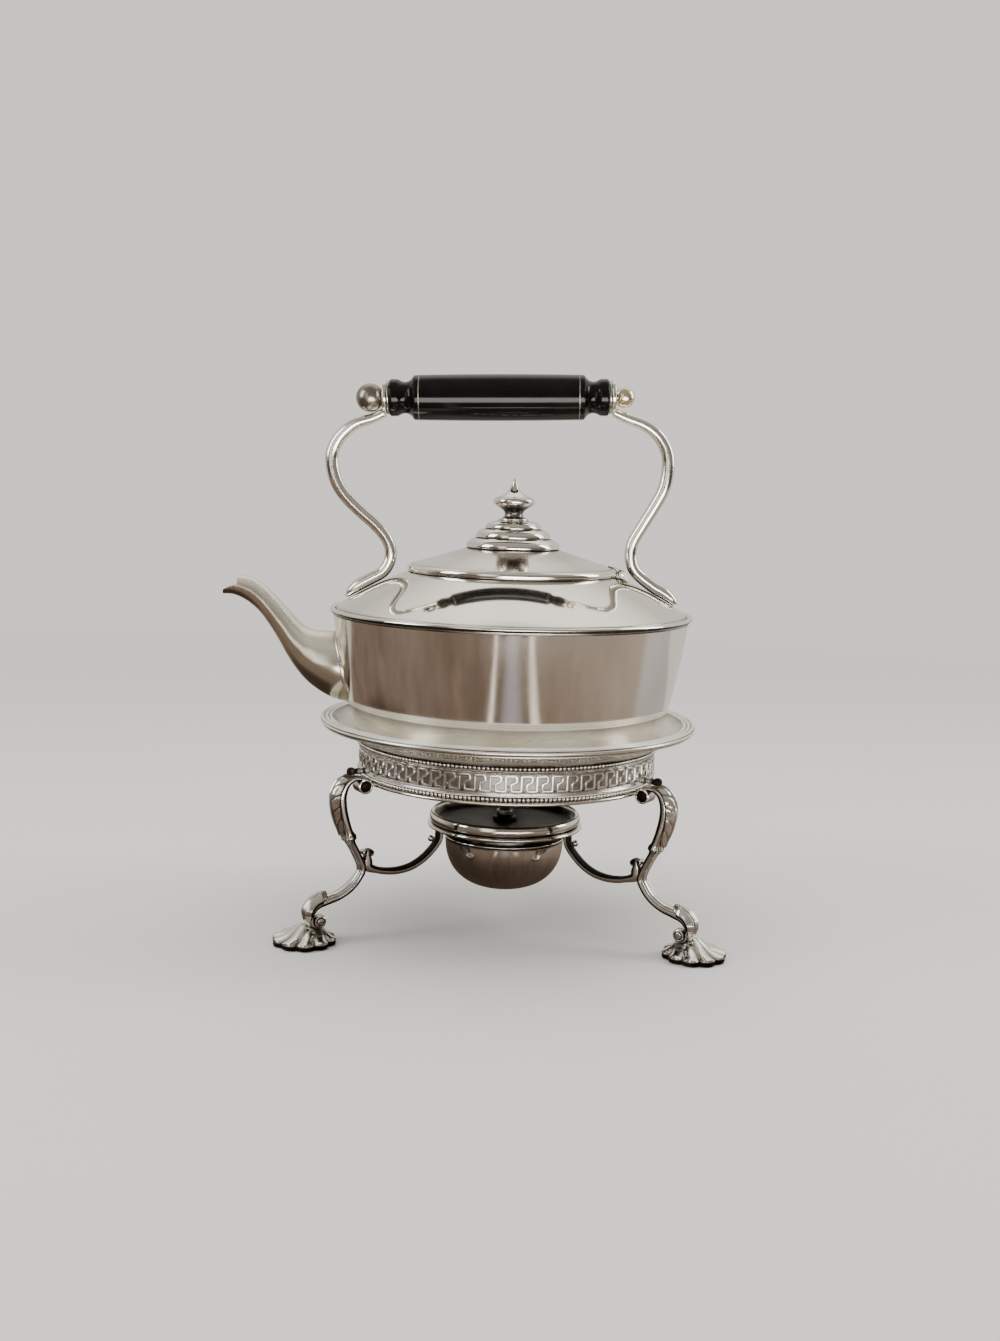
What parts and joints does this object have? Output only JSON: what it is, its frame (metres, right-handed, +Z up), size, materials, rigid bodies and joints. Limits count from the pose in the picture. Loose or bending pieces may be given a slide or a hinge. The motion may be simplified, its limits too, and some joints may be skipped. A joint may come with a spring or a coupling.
{
  "type": "spirit kettle on stand",
  "caption": "Plated kettle with hinged lid, spout and fixed bail handle with a turned wooden grip, lifting off a scroll-legged stand that holds a small spirit burner.",
  "frame": {"origin": "centre of the bounding box's footprint, in the plane that the feet stand on", "axes": "+Z is up; the grip lies along X and the spout points to -X; -Y faces the camera"},
  "size_m": [0.2672, 0.2306, 0.2924],
  "materials": {
    "polished_plate": "warm polished silver plate with fine turning and wiping marks",
    "worn_plate": "silver plate worn to a yellowish satin",
    "aged_plate": "silver plate with grey-brown oxide left in its recesses",
    "bared_brass": "plate worn through to dull brass",
    "ebonised_wood": "black stained turned wood with a satin polish",
    "wick_cotton": "plaited cotton, browned at its tip"
  },
  "bodies": {
    "stand": {"stand_flange": "polished_plate", "upper_bead_ring": "aged_plate", "key_band": "aged_plate", "lower_bead_ring": "aged_plate", "base_ring": "polished_plate", "burner_holder_ring": "polished_plate", "leg_front_left": "aged_plate", "upper_leaf_front_left": "aged_plate", "knee_leaf_front_left": "aged_plate", "spur_front_left": "aged_plate", "strut_front_left": "aged_plate", "foot_front_left": "aged_plate", "leg_front_right": "aged_plate", "upper_leaf_front_right": "aged_plate", "knee_leaf_front_right": "aged_plate", "spur_front_right": "aged_plate", "strut_front_right": "aged_plate", "foot_front_right": "aged_plate", "leg_back": "aged_plate", "upper_leaf_back": "aged_plate", "knee_leaf_back": "aged_plate", "spur_back": "aged_plate", "strut_back": "aged_plate", "foot_back": "aged_plate"},
    "kettle": {"kettle_wall": "polished_plate", "kettle_base": "polished_plate", "kettle_shoulder": "polished_plate", "shoulder_bead": "polished_plate", "mouth_collar": "polished_plate", "spout": "worn_plate", "handle_arm_left": "polished_plate", "handle_arm_right": "polished_plate", "grip": "ebonised_wood", "tie_rod": "polished_plate", "inlay_ring_left": "polished_plate", "inlay_ring_right": "polished_plate", "grip_washer_left": "polished_plate", "grip_washer_right": "polished_plate", "ball_nut_left": "aged_plate", "ball_nut_right": "bared_brass", "hinge_knuckle_front": "polished_plate", "hinge_knuckle_rear": "polished_plate", "hinge_pin": "polished_plate"},
    "lid": {"lid_cone": "polished_plate", "lid_bezel": "polished_plate", "lid_dome": "polished_plate", "finial": "polished_plate", "finial_nut": "polished_plate", "lid_hinge_leaf": "polished_plate"},
    "burner": {"burner_bowl": "polished_plate", "burner_pan": "polished_plate", "wick_tube": "polished_plate", "wick": "wick_cotton"}
  },
  "joints": [
    {"name": "kettle_lift", "type": "slide", "parent": "stand", "child": "kettle", "axis": [0, 0, 1], "range_m": [0, 0.04]},
    {"name": "lid_hinge", "type": "hinge", "parent": "kettle", "child": "lid", "pos_m": [0.07742, -0.01558, 0.18941], "axis": [0, 1, 0], "range_deg": [0, 40]},
    {"name": "burner_lift", "type": "slide", "parent": "stand", "child": "burner", "axis": [0, 0, 1], "range_m": [0, 0.036]}
  ]
}
